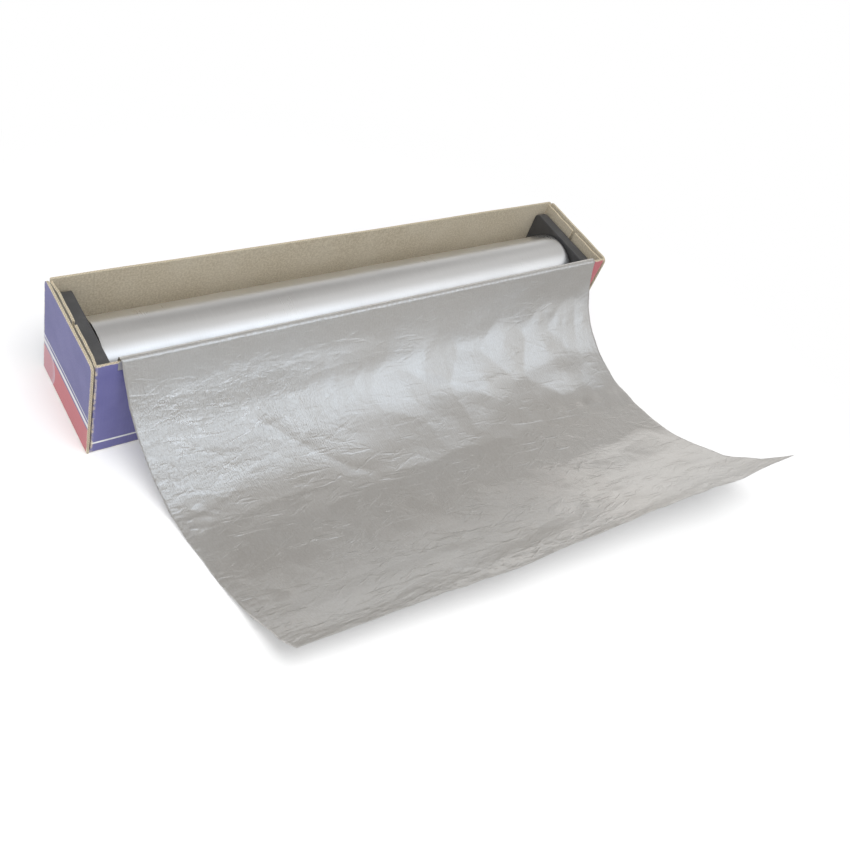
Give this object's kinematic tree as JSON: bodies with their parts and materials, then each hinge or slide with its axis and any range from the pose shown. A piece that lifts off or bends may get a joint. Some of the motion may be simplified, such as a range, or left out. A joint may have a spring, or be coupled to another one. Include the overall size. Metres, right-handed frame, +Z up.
{
  "type": "aluminium foil roll in cutter carton",
  "caption": "Wide aluminium foil roll that turns on end plugs in an open corrugated cutter carton, with a sheet drawn out over the front wall and curling up at its free end.",
  "frame": {"origin": "centre of the carton's bottom face", "axes": "+X along the roll's axis, -Y towards the drawn sheet, +Z up"},
  "size_m": [0.5184, 0.3442, 0.0952],
  "materials": {
    "printed_board": "printed kraft board, uncoated inside",
    "plug_plastic": "charcoal moulded",
    "core_board": "wound board",
    "bright_foil": "bright rolled side",
    "matt_foil": "matt rolled side",
    "cutter_steel": "tinned strip"
  },
  "bodies": {
    "carton_body": {"carton": "printed_board", "end_plug_right": "plug_plastic", "end_plug_left": "plug_plastic", "foil_sheet": "matt_foil", "cutter_strip": "cutter_steel"},
    "winding": {"foil_roll": "bright_foil", "core_tube": "core_board"}
  },
  "joints": [
    {"name": "roll_turn", "type": "hinge", "parent": "carton_body", "child": "winding", "pos_m": [0, 0, 0.0451], "axis": [-1, 0, 0], "continuous": true}
  ]
}
